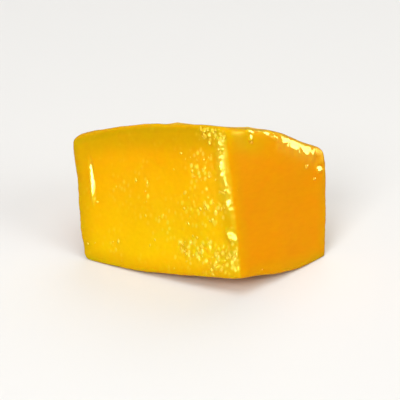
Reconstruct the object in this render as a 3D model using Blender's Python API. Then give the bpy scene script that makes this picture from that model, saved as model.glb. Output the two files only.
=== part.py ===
"""One chunk of peeled mango, as a knife leaves it.

The chunk stands on a flat cut. Two faces meet in a ridge at the front (-Y): a broad grainy
one to the left and a narrower smooth one to the right. The top is the peeled outside of
the fruit, which is round and falls away towards the back. Metres, +Z up, with the origin
under the middle of the chunk, on the board that it stands on.
"""

import math

import bmesh
import bpy
from mathutils import Vector

# The front ridge, from the board upwards, and its sideways travel for each metre up
RIDGE_HEIGHT = 0.0292
RIDGE_LEAN_BACK = 0.30
RIDGE_LEAN_LEFT = 0.108

# The two front faces, measured along the board, and how far each turns away from the front
BROAD_WIDTH = 0.0322
BROAD_TURN = 27.0
BROAD_TAPER = -0.02
NARROW_WIDTH = 0.0220
NARROW_TURN = 46.5
NARROW_TAPER = 0.12

# The corner at the back, seen from the ridge's foot
BACK_CORNER = Vector((-0.0130, 0.0330))

# The peeled outside is part of a sphere through the top of the ridge, with these slopes there
FRUIT_RADIUS = 0.085
FRUIT_SLOPE_BACK = 21.0
FRUIT_SLOPE_RIGHT = 6.0

# The front of the underside is cut a little high, so the ridge hangs over the board
UNDERCUT_DEPTH = 0.0115
UNDERCUT_SLOPE = 17.5

# How far the softening of each edge reaches into the face beside it
RIDGE_SOFT = 0.0018
LEFT_SOFT = 0.0042
RIGHT_SOFT = 0.0016
TOP_SOFT = 0.0024
BOTTOM_SOFT = 0.0015

# The cut faces swell and dip a little, but the resting face stays flat
SWELL_DEPTH = 0.0007
SWELL_SPACING = 0.010
SWELL_STARTS = 0.0020
SWELL_FULL = 0.0060

# The last cut takes this much off the underside, which leaves one truly flat face to rest on
RESTING_CUT = 0.00025

INNER_LOOPS = 3
SUBDIVISION = 2

FLESH_COLOUR = (0.90, 0.46, 0.01, 1.0)
FLESH_ROUGHNESS = 0.25


def clear_scene():
    for old in list(bpy.data.objects):
        bpy.data.objects.remove(old, do_unlink=True)


def corner_feet():
    """Where the four upright edges would meet the board: ridge, left, right and back."""
    broad = math.radians(BROAD_TURN)
    narrow = math.radians(NARROW_TURN)
    ridge = Vector((0.0, 0.0))
    left = Vector((-math.cos(broad), math.sin(broad))) * BROAD_WIDTH
    right = Vector((math.cos(narrow), math.sin(narrow))) * NARROW_WIDTH
    return ridge, left, right, BACK_CORNER.copy()


def corner_leans(feet):
    """The sideways travel of each upright edge for each metre up, such that every side is flat."""
    ridge, left, right, back = feet
    ridge_lean = Vector((-RIDGE_LEAN_LEFT, RIDGE_LEAN_BACK))
    left_lean = ridge_lean + BROAD_TAPER * left.normalized()
    right_lean = ridge_lean + NARROW_TAPER * right.normalized()
    along_left = (back - left).normalized()
    along_right = (back - right).normalized()
    share = (right_lean - left_lean).cross(along_right) / along_left.cross(along_right)
    return ridge_lean, left_lean, right_lean, left_lean + share * along_left


def mix_corners(corners, u, v):
    """The value that is u of the way to the left corner and v of the way to the right one."""
    ridge, left, right, back = corners
    return (1 - u) * (1 - v) * ridge + u * (1 - v) * left + (1 - u) * v * right + u * v * back


def fruit_centre():
    """The centre of the sphere that the peeled outside is part of."""
    ridge_top = Vector((-RIDGE_LEAN_LEFT, RIDGE_LEAN_BACK, 1.0)) * RIDGE_HEIGHT
    slope_right = math.tan(math.radians(FRUIT_SLOPE_RIGHT))
    slope_back = math.tan(math.radians(FRUIT_SLOPE_BACK))
    return ridge_top - FRUIT_RADIUS * Vector((slope_right, slope_back, 1.0)).normalized()


def outside_height(foot, lean, centre):
    """How high a column that starts at foot has risen where it meets the peeled outside."""
    rise = Vector((lean.x, lean.y, 1.0))
    start = Vector((foot.x, foot.y, 0.0)) - centre
    a = rise.dot(rise)
    b = rise.dot(start)
    c = start.dot(start) - FRUIT_RADIUS**2
    return (math.sqrt(b * b - a * c) - b) / a


def underside_height(foot):
    """How high the underside is above the board: zero behind the undercut."""
    return max(0.0, UNDERCUT_DEPTH - foot.y) * math.tan(math.radians(UNDERCUT_SLOPE))


def loop_places(length, near_soft, far_soft):
    """The cage's loops as shares of a side: one close to each end and the rest evenly between."""
    first = near_soft / length
    last = 1 - far_soft / length
    step = (last - first) / (INNER_LOOPS + 1)
    return [0.0] + [first + step * i for i in range(INNER_LOOPS + 2)] + [1.0]


def build_cage():
    """A coarse closed box of quads, whose columns run from the underside to the peeled outside."""
    feet = corner_feet()
    leans = corner_leans(feet)
    centre = fruit_centre()
    left_places = loop_places(BROAD_WIDTH, RIDGE_SOFT, LEFT_SOFT)
    right_places = loop_places(NARROW_WIDTH, RIDGE_SOFT, RIGHT_SOFT)
    height_places = loop_places(RIDGE_HEIGHT, BOTTOM_SOFT, TOP_SOFT)
    last = len(height_places) - 1

    cage = bmesh.new()
    made = {}

    def vertex(i, j, k):
        if (i, j, k) not in made:
            foot = mix_corners(feet, left_places[i], right_places[j])
            lean = mix_corners(leans, left_places[i], right_places[j])
            low = underside_height(foot)
            high = outside_height(foot, lean, centre)
            height = low + (high - low) * height_places[k]
            place = foot + lean * height
            made[i, j, k] = cage.verts.new((place.x, place.y, height))
        return made[i, j, k]

    sides = (
        lambda a, b: (a, 0, b),
        lambda a, b: (a, last, b),
        lambda a, b: (0, a, b),
        lambda a, b: (last, a, b),
        lambda a, b: (a, b, 0),
        lambda a, b: (a, b, last),
    )
    for side in sides:
        for a in range(last):
            for b in range(last):
                ring = (side(a, b), side(a + 1, b), side(a + 1, b + 1), side(a, b + 1))
                cage.faces.new([vertex(*spot) for spot in ring])
    bmesh.ops.recalc_face_normals(cage, faces=cage.faces)

    mesh = bpy.data.meshes.new("mango_chunk")
    cage.to_mesh(mesh)
    cage.free()
    return mesh


def soften_edges(chunk):
    modifier = chunk.modifiers.new("soft edges", "SUBSURF")
    modifier.levels = SUBDIVISION
    modifier.render_levels = SUBDIVISION


def swell_faces(chunk):
    """Slow swells and dips, fading out above the board."""
    above_board = chunk.vertex_groups.new(name="above board")
    for vertex in chunk.data.vertices:
        share = (vertex.co.z - SWELL_STARTS) / (SWELL_FULL - SWELL_STARTS)
        above_board.add([vertex.index], min(1.0, max(0.0, share)), "REPLACE")
    swell = bpy.data.textures.new("swell", "CLOUDS")
    swell.noise_scale = SWELL_SPACING
    swell.noise_depth = 0
    modifier = chunk.modifiers.new("swell", "DISPLACE")
    modifier.texture = swell
    modifier.vertex_group = above_board.name
    modifier.strength = SWELL_DEPTH
    modifier.mid_level = 0.5


def cut_resting_face(chunk):
    """Settles the modifiers into the mesh, and slices the lowest part of the underside off level."""
    bpy.context.view_layer.update()
    body = bmesh.new()
    body.from_object(chunk, bpy.context.evaluated_depsgraph_get())
    chunk.modifiers.clear()
    everything = list(body.verts) + list(body.edges) + list(body.faces)
    cut = bmesh.ops.bisect_plane(
        body, geom=everything, plane_co=(0, 0, RESTING_CUT), plane_no=(0, 0, -1), clear_outer=True
    )
    rim = [piece for piece in cut["geom_cut"] if isinstance(piece, bmesh.types.BMEdge)]
    bmesh.ops.contextual_create(body, geom=rim)
    bmesh.ops.recalc_face_normals(body, faces=body.faces)
    body.to_mesh(chunk.data)
    body.free()


def paint(chunk):
    flesh = bpy.data.materials.new("mango_flesh")
    flesh.use_nodes = True
    shader = flesh.node_tree.nodes["Principled BSDF"]
    shader.inputs["Base Color"].default_value = FLESH_COLOUR
    shader.inputs["Roughness"].default_value = FLESH_ROUGHNESS
    shader.inputs["Metallic"].default_value = 0.0
    flesh.diffuse_color = FLESH_COLOUR
    chunk.data.materials.append(flesh)
    chunk.data.shade_smooth()


def stand_on_origin(chunk):
    """Moves the chunk so that the origin is on the board, under the middle of its outline."""
    bpy.context.view_layer.update()
    low = Vector(min(corner[axis] for corner in chunk.bound_box) for axis in range(3))
    high = Vector(max(corner[axis] for corner in chunk.bound_box) for axis in range(3))
    middle = (low + high) / 2
    chunk.location = (-middle.x, -middle.y, -low.z)


def main():
    clear_scene()
    chunk = bpy.data.objects.new("mango_chunk", build_cage())
    bpy.context.scene.collection.objects.link(chunk)
    soften_edges(chunk)
    swell_faces(chunk)
    cut_resting_face(chunk)
    paint(chunk)
    stand_on_origin(chunk)


main()
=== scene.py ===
import math
import random

import bmesh
import bpy
import numpy as np
from mathutils import Matrix, Vector, kdtree, noise
from mathutils.bvhtree import BVHTree


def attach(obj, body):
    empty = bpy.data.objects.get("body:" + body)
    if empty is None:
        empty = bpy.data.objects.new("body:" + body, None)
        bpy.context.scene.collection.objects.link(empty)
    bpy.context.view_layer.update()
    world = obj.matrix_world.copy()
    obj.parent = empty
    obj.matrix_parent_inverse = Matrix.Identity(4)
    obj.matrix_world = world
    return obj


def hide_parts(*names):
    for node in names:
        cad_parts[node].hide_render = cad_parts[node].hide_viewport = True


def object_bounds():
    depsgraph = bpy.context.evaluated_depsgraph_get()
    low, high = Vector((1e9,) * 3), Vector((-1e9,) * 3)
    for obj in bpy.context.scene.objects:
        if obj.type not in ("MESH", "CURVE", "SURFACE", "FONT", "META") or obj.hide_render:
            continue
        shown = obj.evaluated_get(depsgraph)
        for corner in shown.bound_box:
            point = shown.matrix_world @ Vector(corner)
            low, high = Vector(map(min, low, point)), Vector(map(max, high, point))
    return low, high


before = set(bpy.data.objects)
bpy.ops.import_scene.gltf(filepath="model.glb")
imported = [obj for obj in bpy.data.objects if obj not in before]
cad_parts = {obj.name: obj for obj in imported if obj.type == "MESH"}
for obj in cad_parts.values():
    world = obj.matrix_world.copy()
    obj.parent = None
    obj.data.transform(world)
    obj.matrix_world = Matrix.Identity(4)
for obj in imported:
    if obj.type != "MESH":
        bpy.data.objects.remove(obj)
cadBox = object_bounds()
print("frame loaded")

# Where the camera stands. The photo's pixels are 0.35 mm wide on the chunk.
view = {
    "elevation": 28.0,          # degrees above the floor
    "distance": 0.38,
    "shownWidth": 0.070,        # what the picture spans, at the chunk
    "lookLower": 0.0043,        # the picture's middle lies this far below the chunk's
    "photoPixel": 0.00035,
    "photoMiddle": (202.75, 153.95),    # the pixel that shows the chunk's middle
    "nearest": 0.01,
}

elevation = math.radians(view["elevation"])
towardCamera = Vector((0.0, -math.cos(elevation), math.sin(elevation)))
pictureUp = Vector((0.0, math.sin(elevation), math.cos(elevation)))
pictureRight = Vector((1.0, 0.0, 0.0))
chunkMiddle = (cadBox[0] + cadBox[1]) / 2
cameraSpot = chunkMiddle + towardCamera * view["distance"]

# The way that each side of the chunk faces
facing = {
    "broad": Vector((-0.43, -0.86, 0.21)).normalized(),
    "narrow": Vector((0.69, -0.66, 0.27)).normalized(),
    "peeled": Vector((0.02, 0.40, 0.92)).normalized(),
    "backLeft": Vector((-0.75, 0.62, -0.27)).normalized(),
    "backRight": Vector((0.50, 0.84, -0.19)).normalized(),
    "under": Vector((0.0, -0.10, -1.0)).normalized(),
}
fibreWay = facing["broad"]      # the fibres of the fruit run straight out of the broad face


def ramp(values, low, high):
    share = np.clip((values - low) / (high - low), 0.0, 1.0)
    return share * share * (3.0 - 2.0 * share)


def roughly(points, size, seed):
    shift = Vector((seed * 3.17, seed * 1.71, seed * 2.39))
    return np.array([noise.noise(Vector(point) / size + shift) for point in points])


def pebbles(points, size, seam, seed):
    # 1 in the middle of each grain, 0 where two grains meet
    shift = Vector((seed * 2.11, seed * 1.37, seed * 4.73))
    found = np.empty(len(points))
    for i, point in enumerate(points):
        near, second = noise.voronoi(Vector(point) / size + shift)[0][:2]
        found[i] = min(1.0, (second - near) / seam)
    return found


def surfaceOf(thing):
    bpy.context.view_layer.update()
    return BVHTree.FromObject(thing, bpy.context.evaluated_depsgraph_get())


def spotFromPhoto(surface, photoX, photoY):
    # where a pixel of the photo falls on the chunk
    across = (photoX - view["photoMiddle"][0]) * view["photoPixel"]
    down = (photoY - view["photoMiddle"][1]) * view["photoPixel"]
    aim = chunkMiddle + pictureRight * across - pictureUp * down
    hit = surface.ray_cast(cameraSpot, (aim - cameraSpot).normalized())
    return hit[0], hit[1]


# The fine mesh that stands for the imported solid. Heights, sizes and distances are in metres.
fleshShape = {
    "pointSpacing": 0.00025,
    "mergeWithin": 0.00001,
    "smoothingPull": 0.5,
    "smoothingRounds": 12,
    "softeningRounds": 90,              # at the soft spots
    "softCore": 0.2,                    # share of a soft spot's radius that is fully soft
    "softLeast": 0.01,                  # less softening than this is left out
    "flatUnder": 0.0004,                # the resting face stays flat up to this height

    # height and size of each kind of relief
    "swell": (0.00022, 0.0090),
    "lumps": (0.00004, 0.0028),
    "edgeWobble": (0.00014, 0.0050),
    "streakLumps": (0.00012, 0.0011),
    "grains": (0.00020, 0.00090),
    "fibreLines": (0.000025, 0.0007),
    "hiddenLumps": 1.5,                 # this much more lumpy away from the two front sides
    "grainSqueeze": (1.0, 1.0, 0.6),    # the grains are taller than wide
    "grainSeam": 0.45,                  # width of the dips between grains, as a share of their size
    "fibreStretch": 9.0,
    "narrowFibres": -0.6,               # change in the fibre lines on the narrow side
    "hiddenFibres": 1.2,                # and on the cut sides at the back

    # the strips that the peeler left
    "stripWidth": 0.0105,
    "stripDepth": 0.00034,
    "stripShift": 0.35,                 # share of a strip
    "stripBend": (0.25, 0.020),         # share of a strip, and size of the bends
    "stripEdge": (0.0010, 0.0070),      # they start this far from the edges and are full here
    "stripHollow": 0.25,                # share of the depth that goes inwards

    # how squarely a point faces a side, 1 at most
    "sideTurns": (0.72, 0.95),          # from off the side to fully on it
    "peeledTurns": (0.80, 0.97),
    "squareOn": 0.93,                   # less than this on every side is an edge
    "ridgeFaces": 0.68,                 # on both front sides
    "leftFaces": (0.50, 0.35),          # on the broad side and on the back left one
    "underFaces": 0.97,
    "edgeReach": 0.0018,

    # torn grain
    "leastGrain": 0.10,
    "grainCore": 0.3,                   # share of a patch's radius that has its full strength
    "grainPatchy": (0.6, 0.8, 0.0022),  # middle, spread and size of its unevenness
    "farGrain": 0.22,                   # strength on the far cut, which crosses the fibres too
    "farGrainPatches": (0.0060, -0.25, 0.45),   # size, and the noise it starts and is full at

    # the wet film, as a share of the gloss coat
    "wetLeast": 0.02,
    "wetOnGrain": 0.45,
    "wetOnEdges": 0.18,
    "wetEdgePatches": (0.0012, -0.05, 0.25),    # size, and the noise they start and are full at

    # patches of coarse, torn grain on the broad face: photo pixel, radius and strength
    "grainPatches": [
        {"photo": (208, 134), "radius": 0.0036, "strength": 0.9},
        {"photo": (205, 152), "radius": 0.0056, "strength": 0.55},
        {"photo": (205, 171), "radius": 0.0060, "strength": 0.55},
        {"photo": (186, 172), "radius": 0.0080, "strength": 0.40},
        {"photo": (196, 192), "radius": 0.0042, "strength": 0.7},
        {"photo": (213, 198), "radius": 0.0056, "strength": 1.0},
        {"photo": (205, 194), "radius": 0.0045, "strength": 0.8},
        {"photo": (217, 190), "radius": 0.0036, "strength": 0.8},
        {"photo": (171, 158), "radius": 0.0090, "strength": 0.22},
        {"photo": (160, 188), "radius": 0.0040, "strength": 0.3},
    ],

    # where the edges have gone soft and round: photo pixel, radius and strength
    "softSpots": [
        {"photo": (252, 139), "radius": 0.0065, "strength": 1.0},
        {"photo": (261, 148), "radius": 0.0050, "strength": 0.8},
        {"photo": (146, 152), "radius": 0.0085, "strength": 0.9},
        {"photo": (146, 135), "radius": 0.0060, "strength": 0.8},
        {"photo": (216, 140), "radius": 0.0050, "strength": 0.5},
        {"photo": (219, 160), "radius": 0.0055, "strength": 0.5},
        {"photo": (222, 182), "radius": 0.0050, "strength": 0.5},
        {"photo": (224, 200), "radius": 0.0050, "strength": 0.4},
    ],

    # wet crests that catch the light: photo pixels along each, and its height at both ends
    "streakSteps": 31,
    "streakTaper": 0.12,                # share of the length that each end fades over
    "wetStreaks": [
        {
            "path": [(212.8, 133.0), (212.5, 145.0), (213.3, 155.0), (215.8, 165.0), (218.2, 176.0)],
            "radius": 0.0011, "rise": (0.00008, 0.00008), "lumps": 1.6,
        },
        {
            "path": [(229.5, 131.4), (236.0, 133.2), (244.0, 137.2)],
            "radius": 0.0007, "rise": (0.00004, 0.00004), "lumps": 0.8,
        },
        {
            "path": [(240.0, 136.0), (250.0, 140.5), (261.0, 145.0)],
            "radius": 0.0026, "rise": (0.00018, 0.00026), "lumps": 1.1,
        },
    ],

    # small wet flats: photo pixel, how each slants down to the right there, and the way it faces
    "flatBlend": 1.8,                   # the flats end at 1 and are gone here
    "flatSteepest": 0.3,                # limits how far a point that faces elsewhere moves
    "pressedFlats": [
        {
            "photo": (149.0, 158.4), "length": 0.0068, "width": 0.0007, "slant": 89.0,
            "proud": 0.00016, "faces": Vector((-0.211, -0.934, 0.290)),
        },
        {
            "photo": (227.6, 132.3), "length": 0.0014, "width": 0.0006, "slant": 5.0,
            "proud": 0.00012, "faces": Vector((0.751, -0.401, 0.524)),
        },
        {
            "photo": (228.0, 135.4), "length": 0.0009, "width": 0.0007, "slant": 90.0,
            "proud": 0.00012, "faces": Vector((0.751, -0.401, 0.524)),
        },
        {
            "photo": (235.0, 133.0), "length": 0.0028, "width": 0.0004, "slant": 16.0,
            "proud": 0.00010, "faces": Vector((0.751, -0.401, 0.524)),
        },
        {
            "photo": (218.8, 184.6), "length": 0.0021, "width": 0.0013, "slant": 52.0,
            "proud": 0.00022, "faces": Vector((-0.123, -0.947, 0.298)),
        },
        {
            "photo": (262.2, 150.6), "length": 0.0013, "width": 0.0009, "slant": -40.0,
            "proud": 0.00014, "faces": Vector((0.751, -0.401, 0.524)),
        },
    ],
}


def patchShare(surface, points, patches, core):
    # how strongly the patches cover each point
    share = np.zeros(len(points))
    for patch in patches:
        spot, _ = spotFromPhoto(surface, *patch["photo"])
        away = np.linalg.norm(points - np.array(spot), axis=1)
        inside = 1.0 - ramp(away, patch["radius"] * core, patch["radius"])
        share = np.maximum(share, patch["strength"] * inside)
    return share


def streakShares(surface, points):
    # for each streak, how near its crest each point is, and how high the crest stands there
    taper = fleshShape["streakTaper"]
    found = []
    for streak in fleshShape["wetStreaks"]:
        pixels = np.array(streak["path"])
        steps = np.linspace(0, len(pixels) - 1, fleshShape["streakSteps"])
        crest = kdtree.KDTree(len(steps))
        for i, step in enumerate(steps):
            pixel = [np.interp(step, range(len(pixels)), pixels[:, axis]) for axis in range(2)]
            spot, _ = spotFromPhoto(surface, *pixel)
            if spot:
                crest.insert(spot, i)
        crest.balance()
        nearest = [crest.find(point) for point in points]
        away = np.array([hit[2] for hit in nearest])
        along = np.array([hit[1] for hit in nearest]) / (len(steps) - 1)
        low, high = streak["rise"]
        inStreak = 1.0 - ramp(away, 0.0, streak["radius"])
        inStreak *= ramp(along, 0.0, taper) * ramp(along, 1.0, 1.0 - taper)
        found.append((inStreak, low + (high - low) * along))
    return found


def applyModifiers(thing):
    bpy.context.view_layer.update()
    made = bpy.data.meshes.new_from_object(thing.evaluated_get(bpy.context.evaluated_depsgraph_get()))
    made.name = thing.name
    thing.modifiers.clear()
    thing.data = made


def fineCopy(node):
    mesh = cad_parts[node].data.copy()
    mesh.name = "mango_flesh"
    mesh.materials.clear()
    work = bmesh.new()
    work.from_mesh(mesh)
    bmesh.ops.remove_doubles(work, verts=work.verts, dist=fleshShape["mergeWithin"])
    work.to_mesh(mesh)
    work.free()
    flesh = bpy.data.objects.new("mango_flesh", mesh)
    bpy.context.scene.collection.objects.link(flesh)

    remesh = flesh.modifiers.new("even points", "REMESH")
    remesh.mode = "VOXEL"
    remesh.voxel_size = fleshShape["pointSpacing"]
    smooth = flesh.modifiers.new("no steps", "SMOOTH")
    smooth.factor = fleshShape["smoothingPull"]
    smooth.iterations = fleshShape["smoothingRounds"]
    applyModifiers(flesh)

    soft = flesh.vertex_groups.new(name="soft spots")
    points, _ = readPoints(flesh.data)
    shares = patchShare(surfaceOf(flesh), points, fleshShape["softSpots"], fleshShape["softCore"])
    for i in np.flatnonzero(shares > fleshShape["softLeast"]):
        soft.add([int(i)], shares[i], "REPLACE")
    soften = flesh.modifiers.new("soft edges", "SMOOTH")
    soften.factor = fleshShape["smoothingPull"]
    soften.iterations = fleshShape["softeningRounds"]
    soften.vertex_group = soft.name
    applyModifiers(flesh)
    flesh.vertex_groups.clear()
    return flesh


def readPoints(mesh):
    points = np.empty(len(mesh.vertices) * 3)
    mesh.vertices.foreach_get("co", points)
    normals = np.empty(len(mesh.vertices) * 3)
    mesh.vertices.foreach_get("normal", normals)
    return points.reshape(-1, 3), normals.reshape(-1, 3)


def writePoints(mesh, points):
    mesh.vertices.foreach_set("co", points.astype(np.float32).ravel())
    mesh.update()


def distanceTo(points, chosen):
    # how far every point is from the nearest chosen one
    tree = kdtree.KDTree(int(chosen.sum()))
    for i, point in enumerate(points[chosen]):
        tree.insert(point, i)
    tree.balance()
    return np.array([tree.find(point)[2] for point in points])


def alongFibres(points, stretch):
    # squeezes space along the fibres, so that noise read there comes out long and thin
    way = np.array(fibreWay)
    reach = points @ way
    return points - np.outer(reach * (1.0 - 1.0 / stretch), way)


def saveShare(mesh, name, values):
    layer = mesh.attributes.new(name, "FLOAT", "POINT")
    layer.data.foreach_set("value", values.astype(np.float32))


def fleshSides(points, normals):
    # how fully each point is on each side, and how far it is from the edges, the skin and two corners
    facings = {side: normals @ np.array(way) for side, way in facing.items()}
    squarest = np.max(np.stack(list(facings.values())), axis=0)
    cutSides = ("broad", "narrow", "backRight")
    sides = {side: ramp(facings[side], *fleshShape["sideTurns"]) for side in cutSides}
    sides["peeled"] = ramp(facings["peeled"], *fleshShape["peeledTurns"])
    sides["hidden"] = (1.0 - sides["broad"]) * (1.0 - sides["narrow"])
    onRidge = (facings["broad"] > fleshShape["ridgeFaces"]) & (facings["narrow"] > fleshShape["ridgeFaces"])
    onBroad, onBack = fleshShape["leftFaces"]
    onLeft = (facings["broad"] > onBroad) & (facings["backLeft"] > onBack)
    away = {
        "edge": distanceTo(points, squarest < fleshShape["squareOn"]),
        "skin": distanceTo(points, facings["peeled"] > fleshShape["squareOn"]),
        "ridge": distanceTo(points, onRidge),
        "left": distanceTo(points, onLeft),
    }
    return facings, sides, away


def coarseShare(surface, points, sides):
    # how coarse the torn grain is
    coarse = patchShare(surface, points, fleshShape["grainPatches"], fleshShape["grainCore"])
    coarse = np.maximum(coarse, fleshShape["leastGrain"])
    middle, spread, size = fleshShape["grainPatchy"]
    coarse *= middle + spread * roughly(points, size, 5)
    size, none, full = fleshShape["farGrainPatches"]
    farGrain = sides["backRight"] * ramp(roughly(points, size, 10), none, full)
    return np.clip(coarse * sides["broad"] + fleshShape["farGrain"] * farGrain, 0.0, 1.0)


def relief(points, name, seed):
    height, size = fleshShape[name]
    return height * roughly(points, size, seed)


def grainRelief(points, coarse):
    height, size = fleshShape["grains"]
    grain = pebbles(points * np.array(fleshShape["grainSqueeze"]), size, fleshShape["grainSeam"], 4)
    return height * coarse * (grain - 0.5)


def fibreRelief(points, sides):
    height, size = fleshShape["fibreLines"]
    lines = roughly(alongFibres(points, fleshShape["fibreStretch"]), size, 6)
    onNarrow = fleshShape["narrowFibres"] * sides["narrow"]
    onBack = fleshShape["hiddenFibres"] * sides["hidden"] * (1.0 - sides["peeled"])
    return height * lines * (1.0 + onNarrow + onBack)


def stripRelief(points, sides, away):
    # the peeler leaves flat strips that meet in low crests
    bend, size = fleshShape["stripBend"]
    strip = points[:, 0] / fleshShape["stripWidth"] + fleshShape["stripShift"]
    strip += bend * roughly(points, size, 7)
    crest = np.abs(2.0 * (strip - np.floor(strip)) - 1.0)
    inward = ramp(away["edge"], *fleshShape["stripEdge"])
    return fleshShape["stripDepth"] * sides["peeled"] * inward * (crest**3 - fleshShape["stripHollow"])


def pressFlats(surface, points, normals, rise, wet):
    # inside each flat the points move along their normals to one plane
    for flat in fleshShape["pressedFlats"]:
        spot, outward = spotFromPhoto(surface, *flat["photo"])
        way = flat["faces"].normalized()
        slant = math.radians(flat["slant"])
        inPicture = pictureRight * math.cos(slant) - pictureUp * math.sin(slant)
        tipBack = inPicture.dot(way) / towardCamera.dot(way)
        longWay = np.array((inPicture - towardCamera * tipBack).normalized())
        way = np.array(way)
        middle = np.array(spot + outward * flat["proud"])
        away = points - middle
        along = away @ longWay
        across = np.linalg.norm(away - np.outer(along, longWay), axis=1)
        reach = np.hypot(along / (flat["length"] / 2), across / (flat["width"] / 2))
        inFlat = 1.0 - ramp(reach, 1.0, fleshShape["flatBlend"])
        toFlat = (middle - points) @ way / np.maximum(normals @ way, fleshShape["flatSteepest"])
        rise = rise * (1.0 - inFlat) + toFlat * inFlat
        wet = np.maximum(wet, inFlat)
    return rise, wet


def shapeFlesh(flesh):
    mesh = flesh.data
    points, normals = readPoints(mesh)
    surface = surfaceOf(flesh)
    facings, sides, away = fleshSides(points, normals)
    coarse = coarseShare(surface, points, sides)
    hidden = sides["hidden"]
    nearEdge = 1.0 - ramp(away["edge"], 0.0, fleshShape["edgeReach"])
    flatUnder = fleshShape["flatUnder"]
    free = ramp(points[:, 2], 0.0, flatUnder)
    free[(facings["under"] > fleshShape["underFaces"]) & (points[:, 2] < flatUnder)] = 0.0

    rise = relief(points, "swell", 1)
    rise += relief(points, "lumps", 2) * (1.0 + fleshShape["hiddenLumps"] * hidden)
    rise += nearEdge * relief(points, "edgeWobble", 3)
    rise += grainRelief(points, coarse)
    rise += fibreRelief(points, sides)

    size, none, full = fleshShape["wetEdgePatches"]
    onEdges = hidden * nearEdge * ramp(roughly(points, size, 9), none, full)
    wet = fleshShape["wetLeast"] + fleshShape["wetOnEdges"] * onEdges
    wet = np.maximum(coarse * fleshShape["wetOnGrain"], wet)
    lumps = relief(points, "streakLumps", 8)
    for streak, (inStreak, crestHeight) in zip(fleshShape["wetStreaks"], streakShares(surface, points)):
        rise += inStreak * (crestHeight + streak["lumps"] * lumps)
        wet = np.maximum(wet, inStreak)
    rise, wet = pressFlats(surface, points, normals, rise, wet)
    rise += stripRelief(points, sides, away)

    points = points + normals * (rise * free)[:, None]
    points[:, 2] = np.maximum(points[:, 2], 0.0)
    writePoints(mesh, points)
    saveShare(mesh, "coarseGrain", coarse)
    saveShare(mesh, "wet", np.clip(wet, 0.0, 1.0))
    saveColourShares(mesh, facings, sides, away)
    mesh.shade_smooth()


# Where each colour goes. Distances are in metres, from none to all of it or back.
colourZones = {
    "broadUpToSkin": (0.30, 0.75),      # how squarely a point faces the broad side
    "narrowUpToSkin": (0.55, 0.30),     # and the narrow one
    "farCutYellow": 0.75,
    # reach of the painted shade at the ridge and the left edge
    "ridgeReach": 0.0040,
    "leftReach": 0.0060,
    "leftShadeShare": 0.50,
    "skinFade": (0.0012, 0.0060),       # below the peeled side
    "narrowSkinLoss": 0.75,             # on the narrow side, far from the ridge
    "narrowSkinFade": (0.004, 0.011),
    "hiddenSkinLoss": 0.5,
    "skinDepth": 0.020,                 # where the broad side has its low colour
    "rimReach": 0.0030,
    "peeledFade": (0.0004, 0.0024),     # from the edges inwards
}


def saveColourShares(mesh, facings, sides, away):
    backCuts = sides["hidden"] * (1.0 - sides["peeled"])
    upToSkin = ramp(facings["broad"], *colourZones["broadUpToSkin"])
    upToSkin *= ramp(facings["narrow"], *colourZones["narrowUpToSkin"])
    yellow = np.maximum(sides["broad"], upToSkin)
    saveShare(mesh, "broadFace", np.maximum(yellow, colourZones["farCutYellow"] * sides["backRight"]))
    saveShare(mesh, "fibreSide", backCuts * (1.0 - sides["backRight"]))
    # where a darker olive band is painted as shade, at the ridge and the left edge
    shadeAtRidgeAndLeft = 1.0 - ramp(away["ridge"], 0.0, colourZones["ridgeReach"])
    nearLeft = 1.0 - ramp(away["left"], 0.0, colourZones["leftReach"])
    saveShare(mesh, "shadeAtRidgeAndLeft", np.maximum(shadeAtRidgeAndLeft, colourZones["leftShadeShare"] * nearLeft))
    skin = 1.0 - ramp(away["skin"], *colourZones["skinFade"])
    farFromRidge = ramp(away["ridge"], *colourZones["narrowSkinFade"])
    skin *= 1.0 - colourZones["narrowSkinLoss"] * sides["narrow"] * farFromRidge
    saveShare(mesh, "nearSkin", skin * (1.0 - colourZones["hiddenSkinLoss"] * backCuts))
    # depth below the skin, which places the painted light on the broad face
    saveShare(mesh, "belowSkin", np.clip(away["skin"] / colourZones["skinDepth"], 0.0, 1.0))
    # the edge zone, which carries the painted shade along the edges and the top edge, and where beads
    # gather
    saveShare(mesh, "nearEdge", 1.0 - ramp(away["edge"], 0.0, colourZones["rimReach"]))
    saveShare(mesh, "peeledSide", sides["peeled"] * ramp(away["edge"], *colourZones["peeledFade"]))
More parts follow.
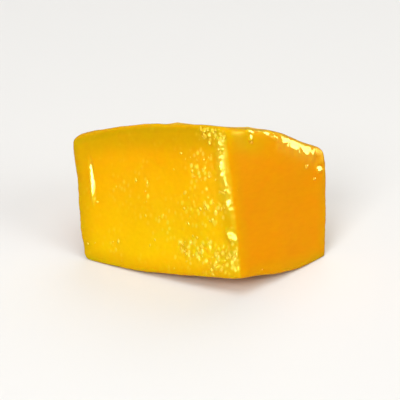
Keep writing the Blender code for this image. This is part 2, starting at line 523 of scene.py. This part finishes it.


# Colours are what the flesh itself has, before the light, apart from the painted light on the broad face,
# the painted shade along the edges and the ridge, and the painted sparkle in the flecks
fleshFinish = {
    # painted light: the broad face is darker and more orange at its top, brighter towards its bottom
    "broadTopShaded": (0.86, 0.42, 0.0006, 1.0),
    "broadBottomLit": (1.00, 0.60, 0.0008, 1.0),
    "inner": (0.84, 0.330, 0.0003, 1.0),
    "nearSkin": (0.64, 0.395, 0.0006, 1.0),
    # painted shade along the top edge of the broad side
    "skinLineShade": (0.52, 0.345, 0.0004, 1.0),
    "nearSkinInner": (0.72, 0.455, 0.0008, 1.0),
    # painted shade along the edges away from the skin
    "rim": (0.72, 0.38, 0.0006, 1.0),
    # painted shade at the ridge and the left edge; also the torn grain's own olive tone
    "ridge": (0.66, 0.45, 0.0010, 1.0),
    "peeled": (1.00, 0.575, 0.0010, 1.0),
    "peeledDark": (0.96, 0.475, 0.0008, 1.0),
    # pale flecks, partly painted sparkle
    "fleckSparkle": (1.00, 0.74, 0.06, 1.0),
    "faintFibre": (0.97, 0.95, 0.92, 1.0),
    "boldFibre": (0.90, 0.83, 0.76, 1.0),
    "plain": (1.0, 1.0, 1.0, 1.0),
    "cloudRoughness": 0.55,
    "patchSize": 0.009,                 # slow patches, in metres
    "patchYellow": 0.85,                # least share of yellow in them
    "patchSkin": 0.75,                  # least share of olive in them
    "yellowNoise": (0.25, 0.75),        # the noise where each starts and is full
    "skinNoise": (0.30, 0.70),
    "fibreNoise": (0.30, 0.70),
    "mottle": (0.0035, 0.42, 0.60),     # size, and the noise where it turns from dark to light
    "fibreWidth": 0.0006,
    "fleckEdge": (0.40, 0.16),          # distance from a grain's middle, as a share of its size
    "fleckGrain": (0.05, 0.45),         # coarseness where flecks start and are full
    # strengths of the painted shade along the top edge, the other edges and the ridge
    "brimStart": 0.75,                  # share of nearEdge
    "brimStrength": 0.60,
    "rimStrength": 0.55,
    "ridgeShadeStrength": 0.70,
    "tornStart": 0.45,                  # coarseness
    "tornStrength": 0.55,
    "roughness": (0.24, 0.50),          # on the cut sides and on the peeled one
    "gloss": 0.24,
    "glossTint": (1.0, 0.90, 0.35, 1.0),
    "wetLift": (1.10, 1.22, 1.0, 1.0),  # makes up for what the wet film takes from the colour
    "wetRoughness": 0.05,
    "wetIor": 2.0,
    "glowReach": 0.0034,
    "glow": (1.0, 0.48, 0.04),
    "fineSize": 0.00070,
    "fineBump": (0.55, 0.00012),        # strength and height
    "pitBump": (0.50, 0.00015),
    "cutGrain": 0.03,                   # share of the bump where nothing is torn
    "skinGrain": 0.70,                  # and on the peeled side
}


def addNode(tree, kind, x, y, **values):
    node = tree.nodes.new(kind)
    node.location = (x, y)
    for name, value in values.items():
        socket = name.replace("_", " ")
        if socket in node.inputs:
            node.inputs[socket].default_value = value
        else:
            setattr(node, name, value)
    return node


def makeFleshMaterial():
    material = bpy.data.materials.new("mangoFlesh")
    material.use_nodes = True
    tree = material.node_tree
    tree.nodes.clear()
    link = tree.links.new
    out = addNode(tree, "ShaderNodeOutputMaterial", 1500, 0)
    shader = addNode(tree, "ShaderNodeBsdfPrincipled", 1200, 0)
    link(shader.outputs["BSDF"], out.inputs["Surface"])
    place = addNode(tree, "ShaderNodeTexCoord", -1400, 0)

    def share(name, y):
        return addNode(tree, "ShaderNodeAttribute", -1000, y, attribute_name=name).outputs["Fac"]

    def texture(size, detail, y, squeeze=None):
        spot = place.outputs["Object"]
        if squeeze:
            turn = addNode(tree, "ShaderNodeMapping", -1200, y, vector_type="POINT")
            turn.inputs["Rotation"].default_value = fibreWay.to_track_quat("Z", "Y").inverted().to_euler()
            flat = addNode(tree, "ShaderNodeMapping", -1000, y, vector_type="POINT")
            flat.inputs["Scale"].default_value = (1.0, 1.0, 1.0 / squeeze)
            link(spot, turn.inputs["Vector"])
            link(turn.outputs["Vector"], flat.inputs["Vector"])
            spot = flat.outputs["Vector"]
        cloud = addNode(tree, "ShaderNodeTexNoise", -800, y, Scale=1.0 / size, Detail=detail)
        cloud.inputs["Roughness"].default_value = fleshFinish["cloudRoughness"]
        link(spot, cloud.inputs["Vector"])
        return cloud.outputs["Fac"]

    def between(value, low, high, y, to=(0.0, 1.0), x=-550):
        node = addNode(tree, "ShaderNodeMapRange", x, y)
        node.inputs["From Min"].default_value = low
        node.inputs["From Max"].default_value = high
        node.inputs["To Min"].default_value = to[0]
        node.inputs["To Max"].default_value = to[1]
        link(value, node.inputs["Value"])
        return node.outputs["Result"]

    def times(first, second, x, y):
        node = addNode(tree, "ShaderNodeMath", x, y, operation="MULTIPLY")
        link(first, node.inputs[0])
        if isinstance(second, float):
            node.inputs[1].default_value = second
        else:
            link(second, node.inputs[1])
        return node.outputs["Value"]

    def mixed(amount, first, second, x, y, blend="MIX"):
        node = addNode(tree, "ShaderNodeMix", x, y, data_type="RGBA", blend_type=blend)
        if isinstance(amount, float):
            node.inputs["Factor"].default_value = amount
        else:
            link(amount, node.inputs["Factor"])
        for socket, value in ((node.inputs[6], first), (node.inputs[7], second)):
            if isinstance(value, tuple):
                socket.default_value = value
            else:
                link(value, socket)
        return node.outputs[2]

    # colour: orange inside, yellow on the broad face, olive towards the skin, with pale grains; the broad
    # face has painted light, darker and more orange at its top and brighter towards its bottom
    patches = texture(fleshFinish["patchSize"], 2.0, 900)
    fibres = texture(fleshFinish["fibreWidth"], 3.0, 300, squeeze=fleshShape["fibreStretch"])
    low = share("belowSkin", 1100)
    broadShadedAndLit = mixed(low, fleshFinish["broadTopShaded"], fleshFinish["broadBottomLit"], -300, 1000)
    yellowPatches = between(patches, *fleshFinish["yellowNoise"], 900, (fleshFinish["patchYellow"], 1.0))
    yellow = times(share("broadFace", 800), yellowPatches, -300, 800)
    colour = mixed(yellow, fleshFinish["inner"], broadShadedAndLit, -100, 800)
    skinPatches = between(patches, *fleshFinish["skinNoise"], 450, (fleshFinish["patchSkin"], 1.0))
    skin = times(share("nearSkin", 500), skinPatches, -300, 500)
    size, dark, light = fleshFinish["mottle"]
    mottle = between(texture(size, 3.0, 1600), dark, light, 1600)
    peeled = mixed(mottle, fleshFinish["peeledDark"], fleshFinish["peeled"], -300, 1600)
    onBroad = share("broadFace", 1400)
    under = mixed(onBroad, fleshFinish["nearSkinInner"], fleshFinish["nearSkin"], -300, 1400)
    outside = mixed(share("peeledSide", 1500), under, peeled, -100, 1400)
    colour = mixed(skin, colour, outside, 100, 600)
    # painted shade: a darker line along the top edge of the broad side, where it turns up to the lamps
    # above
    brim = between(share("nearEdge", 2000), fleshFinish["brimStart"], 1.0, 2000)
    brim = times(brim, share("nearSkin", 1900), -300, 2000)
    brim = times(brim, share("broadFace", 1800), -200, 1900)
    brim = times(brim, fleshFinish["brimStrength"], -100, 1900)
    colour = mixed(brim, colour, fleshFinish["skinLineShade"], 200, 800)
    # painted shade along the other edges, and a darker olive band painted as shade at the ridge and the
    # left edge; the torn grain gets the same olive as its own tone
    rim = times(share("nearEdge", 200), between(share("nearSkin", 250), 1.0, 0.0, 250), -400, 200)
    rim = times(rim, fleshFinish["rimStrength"], -300, 200)
    colour = mixed(rim, colour, fleshFinish["rim"], 300, 550)
    # painted shade: a darker olive band at the ridge and the left edge
    ridge = times(share("shadeAtRidgeAndLeft", 1300), share("broadFace", 1400), -500, 1300)
    ridge = times(ridge, fleshFinish["ridgeShadeStrength"], -300, 1300)
    colour = mixed(ridge, colour, fleshFinish["ridge"], 400, 600)
    torn = share("coarseGrain", 1700)
    torn = between(torn, fleshFinish["tornStart"], 1.0, 1700, (0.0, fleshFinish["tornStrength"]))
    colour = mixed(torn, colour, fleshFinish["ridge"], 450, 700)
    # fibre lines, bold where the cut runs along them
    shade = between(fibres, *fleshFinish["fibreNoise"], 300)
    faint = mixed(shade, fleshFinish["faintFibre"], fleshFinish["plain"], 100, 300)
    bold = mixed(shade, fleshFinish["boldFibre"], fleshFinish["plain"], 100, 100)
    streaks = mixed(share("fibreSide", 100), faint, bold, 300, 200)
    colour = mixed(1.0, colour, streaks, 500, 500, "MULTIPLY")
    # a pale fleck on each coarse grain, partly the grain's own paler tone and partly painted sparkle
    squeezed = addNode(tree, "ShaderNodeMapping", -1000, 0, vector_type="POINT")
    squeezed.inputs["Scale"].default_value = fleshShape["grainSqueeze"]
    link(place.outputs["Object"], squeezed.inputs["Vector"])
    grainSize = fleshShape["grains"][1]
    cells = addNode(tree, "ShaderNodeTexVoronoi", -800, 0, Scale=1.0 / grainSize, Randomness=1.0)
    link(squeezed.outputs["Vector"], cells.inputs["Vector"])
    dots = between(cells.outputs["Distance"], *fleshFinish["fleckEdge"], 0)
    flecksAndSparkle = times(dots, between(share("coarseGrain", -150), *fleshFinish["fleckGrain"], -150), -100, 0)
    colour = mixed(flecksAndSparkle, colour, fleshFinish["fleckSparkle"], 700, 450)
    lifted = mixed(1.0, colour, fleshFinish["wetLift"], 800, 700, "MULTIPLY")
    colour = mixed(share("wet", 2200), colour, lifted, 900, 500)
    link(colour, shader.inputs["Base Color"])

    # relief finer than the mesh
    fine = texture(fleshFinish["fineSize"], 2.0, -400)
    grainAmount = between(share("coarseGrain", -600), 0.0, 1.0, -600, (fleshFinish["cutGrain"], 1.0))
    skinGrain = times(share("peeledSide", -700), fleshFinish["skinGrain"], -300, -700)
    most = addNode(tree, "ShaderNodeMath", -100, -600, operation="MAXIMUM")
    link(grainAmount, most.inputs[0])
    link(skinGrain, most.inputs[1])
    grainAmount = most.outputs["Value"]
    strength, height = fleshFinish["fineBump"]
    bump = addNode(tree, "ShaderNodeBump", 700, -400, Strength=strength, Distance=height)
    link(times(fine, grainAmount, 100, -400), bump.inputs["Height"])
    strength, height = fleshFinish["pitBump"]
    pits = addNode(tree, "ShaderNodeBump", 900, -300, Strength=strength, Distance=height)
    link(times(dots, grainAmount, 300, -300), pits.inputs["Height"])
    link(bump.outputs["Normal"], pits.inputs["Normal"])
    link(pits.outputs["Normal"], shader.inputs["Normal"])
    link(pits.outputs["Normal"], shader.inputs["Coat Normal"])

    roughness = between(share("peeledSide", -1000), 0.0, 1.0, -1000, fleshFinish["roughness"])
    link(roughness, shader.inputs["Roughness"])
    link(share("wet", -800), shader.inputs["Coat Weight"])
    shader.inputs["Coat Roughness"].default_value = fleshFinish["wetRoughness"]
    shader.inputs["Coat IOR"].default_value = fleshFinish["wetIor"]
    shader.inputs["Specular IOR Level"].default_value = fleshFinish["gloss"]
    shader.inputs["Specular Tint"].default_value = fleshFinish["glossTint"]
    shader.inputs["Subsurface Weight"].default_value = 1.0
    shader.inputs["Subsurface Radius"].default_value = fleshFinish["glow"]
    shader.inputs["Subsurface Scale"].default_value = fleshFinish["glowReach"]
    return material


def makeFlesh():
    flesh = fineCopy("mango_chunk")
    print("fine mesh:", len(flesh.data.vertices), "points")
    shapeFlesh(flesh)
    flesh.data.materials.append(makeFleshMaterial())
    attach(flesh, "root")
    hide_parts("mango_chunk")
    print("flesh shaped")
    return flesh


# Beads of juice that sit on the chunk. Those that show singly have the photo's pixel and a width,
# and some are drawn out: stretch is length over width, turn is degrees anticlockwise from upright.
juiceBeads = {
    "seed": 7,
    "squash": 0.34,             # height as a share of the width
    "sink": 0.30,               # how far each sits in the flesh, as a share of its height
    "unevenness": 0.22,
    "fineAbove": 0.0004,        # wider ones get more faces
    "lowest": 0.001,            # none sits lower than this
    "fewWide": 2.5,             # the higher, the fewer of the widest ones
    "cloudScale": 900.0,
    "roughness": 0.12,
    "orange": (1.00, 0.49, 0.010, 1.0),
    "yellow": (1.00, 0.58, 0.008, 1.0),
    # painted sparkle: a paler yellow than the flesh
    "paleSparkleYellow": (1.00, 0.72, 0.030, 1.0),
    "spots": [
        # on the narrow face
        {"photo": (228.5, 137.9), "width": 0.00060},
        {"photo": (256.0, 149.7), "width": 0.00085, "stretch": 1.4, "turn": 90},
        {"photo": (260.0, 155.7), "width": 0.00065},
        # on the ridge
        {"photo": (213.0, 136.0), "width": 0.00060},
        {"photo": (212.9, 143.0), "width": 0.00055},
        {"photo": (213.6, 152.0), "width": 0.00060},
        {"photo": (213.6, 162.9), "width": 0.00050, "stretch": 2.4, "turn": 80},
        # on the broad face, from the top down
        {"photo": (203.1, 131.0), "width": 0.00050, "stretch": 2.2, "turn": 40},
        {"photo": (205.4, 135.1), "width": 0.00052, "stretch": 2.4, "turn": 30},
        {"photo": (207.4, 138.3), "width": 0.00050, "stretch": 1.6, "turn": 20},
        {"photo": (209.2, 132.6), "width": 0.00042, "stretch": 2.2, "turn": 40},
        {"photo": (193.2, 143.2), "width": 0.00050},
        {"photo": (198.9, 152.2), "width": 0.00048, "stretch": 1.8, "turn": 10},
        {"photo": (207.2, 155.0), "width": 0.00056},
        {"photo": (176.3, 157.8), "width": 0.00046, "stretch": 1.8, "turn": 0},
        {"photo": (195.2, 162.9), "width": 0.00056, "stretch": 1.8, "turn": -25},
        {"photo": (205.4, 168.9), "width": 0.00048, "stretch": 1.8, "turn": 5},
        {"photo": (194.8, 170.7), "width": 0.00062},
        {"photo": (151.4, 167.3), "width": 0.00052},
        {"photo": (201.2, 185.3), "width": 0.00056},
        {"photo": (161.9, 186.9), "width": 0.00052, "stretch": 2.0, "turn": 5},
        {"photo": (203.5, 190.0), "width": 0.00066},
        {"photo": (210.5, 193.9), "width": 0.00072, "stretch": 1.5, "turn": 20},
        {"photo": (221.1, 193.9), "width": 0.00046, "stretch": 2.6, "turn": 0},
        {"photo": (208.6, 201.7), "width": 0.00056},
    ],
    "onGrain": {"count": 100, "width": (0.00020, 0.00046), "stretch": 1.9, "lean": 30.0},
    "onEdges": {"count": 30, "width": (0.00018, 0.00040), "stretch": 1.0, "lean": 180.0},
}


def addBead(work, spot, normal, width, stretch, turn, chance):
    stand = normal.to_track_quat("Z", "Y").to_matrix().to_4x4()
    spin = Matrix.Rotation(math.radians(turn), 4, "Z")
    uneven = juiceBeads["unevenness"]
    size = Matrix.Diagonal((
        width / 2 * chance.uniform(1.0 - uneven, 1.0 + uneven),
        width / 2 * chance.uniform(1.0 - uneven, 1.0 + uneven) * stretch,
        width * juiceBeads["squash"],
        1.0,
    ))
    low = Matrix.Translation(spot - normal * width * juiceBeads["squash"] * juiceBeads["sink"])
    rounds = 2 if width < juiceBeads["fineAbove"] else 3
    bmesh.ops.create_icosphere(work, subdivisions=rounds, radius=1.0, matrix=low @ stand @ spin @ size)


def makeJuiceMaterial():
    material = bpy.data.materials.new("juice")
    material.use_nodes = True
    tree = material.node_tree
    shader = tree.nodes["Principled BSDF"]
    place = addNode(tree, "ShaderNodeTexCoord", -800, 0)
    cloud = addNode(tree, "ShaderNodeTexNoise", -600, 0, Scale=juiceBeads["cloudScale"], Detail=2.0)
    tree.links.new(place.outputs["Object"], cloud.inputs["Vector"])
    # painted sparkle: on the broad face the beads are partly a paler yellow than the flesh
    tint = addNode(tree, "ShaderNodeMix", -300, 0, data_type="RGBA")
    tint.inputs[6].default_value = juiceBeads["yellow"]
    tint.inputs[7].default_value = juiceBeads["paleSparkleYellow"]
    tree.links.new(cloud.outputs["Fac"], tint.inputs["Factor"])
    # clear juice takes the colour of what lies under it
    under = addNode(tree, "ShaderNodeAttribute", -300, 300, attribute_name="broadFace")
    whole = addNode(tree, "ShaderNodeMix", -100, 100, data_type="RGBA")
    whole.inputs[6].default_value = juiceBeads["orange"]
    tree.links.new(under.outputs["Fac"], whole.inputs["Factor"])
    tree.links.new(tint.outputs[2], whole.inputs[7])
    tree.links.new(whole.outputs[2], shader.inputs["Base Color"])
    shader.inputs["Roughness"].default_value = juiceBeads["roughness"]
    shader.inputs["Specular Tint"].default_value = fleshFinish["glossTint"]
    shader.inputs["Coat Weight"].default_value = 1.0
    shader.inputs["Coat Roughness"].default_value = fleshFinish["wetRoughness"]
    shader.inputs["Coat IOR"].default_value = fleshFinish["wetIor"]
    return material


def scatterBeads(work, flesh, layer, setup, chance):
    # beads fall more often where the layer says more
    mesh = flesh.data
    shares = np.empty(len(mesh.vertices))
    mesh.attributes[layer].data.foreach_get("value", shares)
    points, normals = readPoints(mesh)
    shares[points[:, 2] < juiceBeads["lowest"]] = 0.0
    summed = np.cumsum(shares**2)
    least, most = setup["width"]
    for _ in range(setup["count"]):
        i = int(np.searchsorted(summed, chance.random() * summed[-1]))
        width = least + (most - least) * chance.random() ** juiceBeads["fewWide"]
        turn = chance.uniform(-setup["lean"], setup["lean"])
        addBead(work, Vector(points[i]), Vector(normals[i]), width, setup["stretch"], turn, chance)


def copyShare(mesh, flesh, name):
    # each point takes the value of the flesh point nearest to it
    fleshPoints, _ = readPoints(flesh.data)
    tree = kdtree.KDTree(len(fleshPoints))
    for i, point in enumerate(fleshPoints):
        tree.insert(point, i)
    tree.balance()
    values = np.empty(len(fleshPoints))
    flesh.data.attributes[name].data.foreach_get("value", values)
    nearest = [tree.find(point)[1] for point in readPoints(mesh)[0]]
    saveShare(mesh, name, values[nearest])


def makeJuice(flesh):
    chance = random.Random(juiceBeads["seed"])
    surface = surfaceOf(flesh)
    work = bmesh.new()
    for bead in juiceBeads["spots"]:
        spot, normal = spotFromPhoto(surface, *bead["photo"])
        addBead(work, spot, normal, bead["width"], bead.get("stretch", 1.0), bead.get("turn", 0.0), chance)
    scatterBeads(work, flesh, "coarseGrain", juiceBeads["onGrain"], chance)
    scatterBeads(work, flesh, "nearEdge", juiceBeads["onEdges"], chance)
    mesh = bpy.data.meshes.new("juice_beads")
    work.to_mesh(mesh)
    work.free()
    mesh.shade_smooth()
    copyShare(mesh, flesh, "broadFace")
    mesh.materials.append(makeJuiceMaterial())
    juice = bpy.data.objects.new("juice_beads", mesh)
    bpy.context.scene.collection.objects.link(juice)
    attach(juice, "root")
    print("juice beads:", len(mesh.polygons), "faces")


floorFinish = {
    "size": 3.0,
    "colour": (0.80, 0.79, 0.77, 1.0),
    "darker": (0.77, 0.76, 0.74, 1.0),
    "roughness": 0.75,
    "gloss": 0.0,
    "cloudScale": 6.0,
}


def makeFloor():
    bpy.ops.mesh.primitive_plane_add(size=floorFinish["size"], location=(0.0, 0.0, 0.0))
    floor = bpy.context.object
    floor.name = "floor"
    material = bpy.data.materials.new("paleFloor")
    material.use_nodes = True
    tree = material.node_tree
    shader = tree.nodes["Principled BSDF"]
    cloud = addNode(tree, "ShaderNodeTexNoise", -500, 0, Scale=floorFinish["cloudScale"], Detail=2.0)
    tint = addNode(tree, "ShaderNodeMix", -250, 0, data_type="RGBA")
    tint.inputs[6].default_value = floorFinish["colour"]
    tint.inputs[7].default_value = floorFinish["darker"]
    tree.links.new(cloud.outputs["Fac"], tint.inputs["Factor"])
    tree.links.new(tint.outputs[2], shader.inputs["Base Color"])
    shader.inputs["Roughness"].default_value = floorFinish["roughness"]
    shader.inputs["Specular IOR Level"].default_value = floorFinish["gloss"]
    floor.data.materials.append(material)
    floor.visible_glossy = False        # a white floor in the gloss would wash the flesh out
    print("floor laid")


# Soft boxes: where each stands as azimuth, elevation and distance, its width and height, and its power.
# The glints show only in the gloss, and the others never do.
lights = {
    "above": {"at": (-10.0, 78.0, 0.80), "size": (0.60, 0.60), "power": 3.4},
    "key": {"at": (-22.0, 36.0, 0.70), "size": (0.30, 0.30), "power": 2.45},
    "fill": {"at": (58.0, 30.0, 0.80), "size": (0.40, 0.40), "power": 1.9},
    "behind": {"at": (165.0, 48.0, 0.80), "size": (0.50, 0.50), "power": 2.0},
    "glintAbove": {"at": (4.0, 74.0, 0.60), "size": (0.10, 0.30), "power": 0.9, "glossOnly": True},
    "glintBehind": {"at": (152.0, 36.0, 0.60), "size": (0.30, 0.14), "power": 0.4, "glossOnly": True},
    "glintFront": {"at": (-12.0, 7.0, 0.50), "size": (0.44, 0.09), "power": 1.3, "glossOnly": True},
    "glintLow": {"at": (-29.0, 2.6, 0.50), "size": (0.13, 0.075), "power": 0.36, "glossOnly": True},
    "glintRight": {"at": (114.0, 9.2, 0.50), "size": (0.31, 0.165), "power": 1.55, "glossOnly": True},
}

room = {
    "colour": (1.0, 0.99, 0.97, 1.0),
    "strength": 0.14,
    "glintColour": (1.0, 0.90, 0.26),
}


def makeLights():
    for name, setup in lights.items():
        light = bpy.data.lights.new(name, "AREA")
        light.shape = "RECTANGLE"
        light.size, light.size_y = setup["size"]
        light.energy = setup["power"]
        lamp = bpy.data.objects.new(name, light)
        bpy.context.scene.collection.objects.link(lamp)
        azimuth, height, distance = setup["at"]
        around = math.radians(azimuth)
        above = math.radians(height)
        way = Vector((
            math.sin(around) * math.cos(above),
            -math.cos(around) * math.cos(above),
            math.sin(above),
        ))
        lamp.location = chunkMiddle + way * distance
        lamp.rotation_euler = way.to_track_quat("Z", "Y").to_euler()
        if setup.get("glossOnly"):
            lamp.visible_diffuse = False
            light.color = room["glintColour"]
        else:
            lamp.visible_glossy = False
    world = bpy.data.worlds.new("paleRoom")
    world.use_nodes = True
    background = world.node_tree.nodes["Background"]
    background.inputs["Color"].default_value = room["colour"]
    background.inputs["Strength"].default_value = room["strength"]
    bpy.context.scene.world = world
    print("lights set")


def makeCamera():
    data = bpy.data.cameras.new("camera")
    camera = bpy.data.objects.new("camera", data)
    bpy.context.scene.collection.objects.link(camera)
    camera.location = cameraSpot - pictureUp * view["lookLower"]
    camera.rotation_euler = towardCamera.to_track_quat("Z", "Y").to_euler()
    data.lens = data.sensor_width * view["distance"] / view["shownWidth"]
    data.clip_start = view["nearest"]
    bpy.context.scene.camera = camera
    bpy.context.scene.view_settings.view_transform = "Standard"
    print("camera placed")


flesh = makeFlesh()
makeJuice(flesh)
makeFloor()
makeLights()
makeCamera()

bpy.context.view_layer.update()
